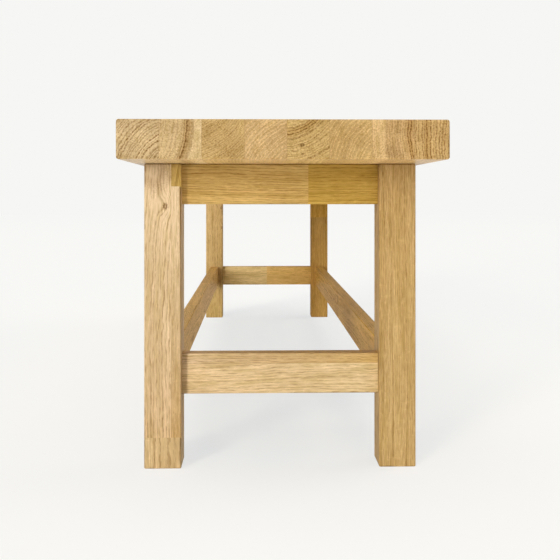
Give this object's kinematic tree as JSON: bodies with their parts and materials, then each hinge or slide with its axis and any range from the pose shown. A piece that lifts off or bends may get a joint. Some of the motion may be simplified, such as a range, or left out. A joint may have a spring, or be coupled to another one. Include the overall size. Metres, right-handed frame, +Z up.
{
  "type": "wooden bench",
  "caption": "Long solid oak bench: a thick seat of edge-glued staves on square legs, tied together by aprons under the seat and by low stretchers all round.",
  "frame": {"origin": "on the floor, under the middle of the seat", "axes": "+Z up, X along the length of the bench, Y across it"},
  "size_m": [1.8, 0.4, 0.46],
  "materials": {
    "oak_seat": "satin oiled oak, end grain at the ends, staves of slightly unlike tone",
    "oak_leg": "satin oiled oak, straight grain",
    "oak_rail": "satin oiled oak, finger-jointed and edge-glued boards",
    "oak_inner": "plain planed oak, unoiled",
    "zinc_screw": "yellow zinc plate"
  },
  "bodies": {
    "root": {"seat_stave_1": "oak_seat", "seat_stave_2": "oak_seat", "seat_stave_3": "oak_seat", "seat_stave_4": "oak_seat", "seat_stave_5": "oak_seat", "seat_stave_6": "oak_seat", "seat_stave_7": "oak_seat", "seat_stave_8": "oak_seat", "leg_near_left": "oak_leg", "leg_near_right": "oak_leg", "leg_far_left": "oak_leg", "leg_far_right": "oak_leg", "end_apron_near_long": "oak_rail", "end_apron_near_short": "oak_rail", "end_apron_far": "oak_rail", "side_apron_left": "oak_rail", "side_apron_right": "oak_rail", "end_stretcher_near_upper": "oak_rail", "end_stretcher_near_lower": "oak_rail", "end_stretcher_far_left": "oak_rail", "end_stretcher_far_right": "oak_rail", "side_stretcher_left": "oak_rail", "side_stretcher_right": "oak_rail", "corner_block_near_left": "oak_inner", "corner_block_near_right": "oak_inner", "corner_block_far_left": "oak_inner", "corner_block_far_right": "oak_inner", "corner_screw_near_left_1": "zinc_screw", "corner_screw_near_left_2": "zinc_screw", "corner_screw_near_right_1": "zinc_screw", "corner_screw_near_right_2": "zinc_screw", "corner_screw_far_left_1": "zinc_screw", "corner_screw_far_left_2": "zinc_screw", "corner_screw_far_right_1": "zinc_screw", "corner_screw_far_right_2": "zinc_screw", "seat_button_1": "oak_inner", "seat_button_2": "oak_inner", "seat_button_3": "oak_inner", "seat_button_4": "oak_inner", "seat_button_5": "oak_inner", "seat_button_6": "oak_inner", "seat_button_7": "oak_inner", "seat_button_8": "oak_inner", "seat_button_9": "oak_inner", "seat_button_10": "oak_inner", "seat_button_screw_1": "zinc_screw", "seat_button_screw_2": "zinc_screw", "seat_button_screw_3": "zinc_screw", "seat_button_screw_4": "zinc_screw", "seat_button_screw_5": "zinc_screw", "seat_button_screw_6": "zinc_screw", "seat_button_screw_7": "zinc_screw", "seat_button_screw_8": "zinc_screw", "seat_button_screw_9": "zinc_screw", "seat_button_screw_10": "zinc_screw"}
  },
  "joints": []
}
